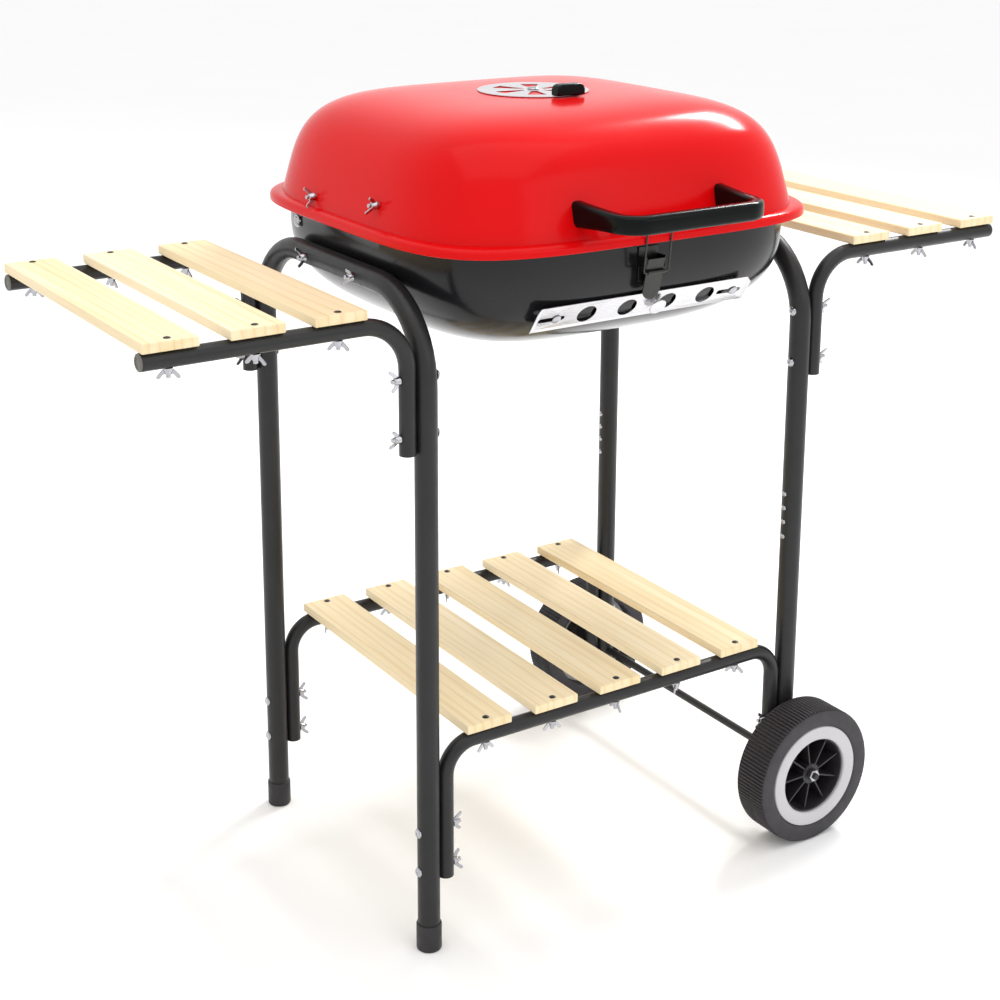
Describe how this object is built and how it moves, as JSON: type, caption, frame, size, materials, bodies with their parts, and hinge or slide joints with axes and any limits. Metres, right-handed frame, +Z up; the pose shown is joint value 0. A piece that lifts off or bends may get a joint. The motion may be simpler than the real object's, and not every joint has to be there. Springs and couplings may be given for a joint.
{
  "type": "charcoal grill",
  "caption": "Trolley charcoal grill: rounded-square bowl with hinged domed lid on bent-tube legs, slatted wood side and lower shelves, wheels at one end.",
  "frame": {"origin": "on the floor, under the middle of the grill's outer box", "axes": "+X towards the wheeled end, +Y away from the handle towards the back, +Z up"},
  "size_m": [1.1486, 0.588, 0.9444],
  "materials": {
    "tube_steel": "semi-gloss black powder coat on bent steel tube",
    "foot_rubber": "moulded black foot caps",
    "tube_plug": "grey moulded plugs",
    "wood": "light planed softwood, lightly varnished",
    "tyre": "black moulded tread with fine cross ribs",
    "wheel_ring": "pale grey moulded ring",
    "black_plastic": "black moulded plastic, fine texture",
    "zinc": "bright zinc-plated screws, nuts and rivets",
    "black_enamel": "gloss black porcelain enamel",
    "red_enamel": "gloss red porcelain enamel",
    "plated_steel": "bright plated sheet steel",
    "dark_wire": "dark coated steel and spring wire",
    "grate_steel": "bright plated wire"
  },
  "bodies": {
    "stand": {"left_leg_frame": "tube_steel", "right_leg_frame": "tube_steel", "left_shelf_front_tube": "tube_steel", "left_shelf_rear_tube": "tube_steel", "right_shelf_front_tube": "tube_steel", "right_shelf_rear_tube": "tube_steel", "lower_shelf_front_tube": "tube_steel", "lower_shelf_rear_tube": "tube_steel", "front_foot_cap": "foot_rubber", "rear_foot_cap": "foot_rubber", "left_front_tube_plug": "tube_plug", "left_rear_tube_plug": "tube_plug", "right_front_tube_plug": "tube_plug", "right_rear_tube_plug": "tube_plug", "left_slat_1": "wood", "left_slat_2": "wood", "left_slat_3": "wood", "right_slat_1": "wood", "right_slat_2": "wood", "right_slat_3": "wood", "lower_slat_1": "wood", "lower_slat_2": "wood", "lower_slat_3": "wood", "lower_slat_4": "wood", "lower_slat_5": "wood", "axle": "zinc", "front_axle_nut": "zinc", "rear_axle_nut": "zinc", "left_front_bowl_bolt": "zinc", "left_rear_bowl_bolt": "zinc", "right_front_bowl_bolt": "zinc", "right_rear_bowl_bolt": "zinc", "left_pivot_eyelet": "zinc", "right_pivot_eyelet": "zinc", "damper_left_rivet": "zinc", "damper_right_rivet": "zinc", "charcoal_bowl": "black_enamel", "latch_bracket": "dark_wire", "charcoal_grate": "grate_steel"},
    "lid": {"lid_shell": "red_enamel", "lid_handle": "black_plastic", "vent_rivet": "zinc", "left_hinge_arm": "plated_steel", "right_hinge_arm": "plated_steel", "left_front_lid_bolt": "zinc", "left_rear_lid_bolt": "zinc", "right_front_lid_bolt": "zinc", "right_rear_lid_bolt": "zinc"},
    "vent": {"vent_disc": "plated_steel", "vent_knob": "black_plastic"},
    "damper": {"damper_slider": "plated_steel"},
    "cooking_grate": {"cooking_grate": "grate_steel"},
    "latch_lever": {"latch_lever": "dark_wire"},
    "latch_bail": {"latch_wire": "dark_wire"},
    "front_wheel": {"front_wheel_tyre": "tyre", "front_wheel_ring": "wheel_ring", "front_wheel_hub": "black_plastic"},
    "rear_wheel": {"rear_wheel_tyre": "tyre", "rear_wheel_ring": "wheel_ring", "rear_wheel_hub": "black_plastic"}
  },
  "joints": [
    {"name": "lid_hinge", "type": "hinge", "parent": "stand", "child": "lid", "pos_m": [0, 0.159, 0.78], "axis": [-1, 0, 0], "range_deg": [0, 60]},
    {"name": "vent_turn", "type": "hinge", "parent": "lid", "child": "vent", "pos_m": [0, 0.034, 0.93], "axis": [0, 0, 1], "range_deg": [0, 30]},
    {"name": "damper_slide", "type": "slide", "parent": "stand", "child": "damper", "axis": [1, 0, 0], "range_m": [-0.008, 0.02]},
    {"name": "cooking_grate_lift", "type": "slide", "parent": "stand", "child": "cooking_grate", "axis": [0, 0, 1], "range_m": [0, 0.105]},
    {"name": "latch_lever_turn", "type": "hinge", "parent": "stand", "child": "latch_lever", "pos_m": [-0.011, -0.216, 0.775], "axis": [-1, 0, 0], "range_deg": [0, 80]},
    {"name": "latch_bail_turn", "type": "hinge", "parent": "latch_lever", "child": "latch_bail", "pos_m": [-0.011, -0.2196, 0.764], "axis": [1, 0, 0], "range_deg": [0, 100]},
    {"name": "front_wheel_roll", "type": "hinge", "parent": "stand", "child": "front_wheel", "pos_m": [0.26, -0.203, 0.087], "axis": [0, 1, 0], "continuous": true},
    {"name": "rear_wheel_roll", "type": "hinge", "parent": "stand", "child": "rear_wheel", "pos_m": [0.26, 0.271, 0.087], "axis": [0, 1, 0], "continuous": true}
  ],
  "couplings": [
    {"joint": "latch_bail_turn", "follows": "latch_lever_turn", "ratio": 1.2}
  ]
}
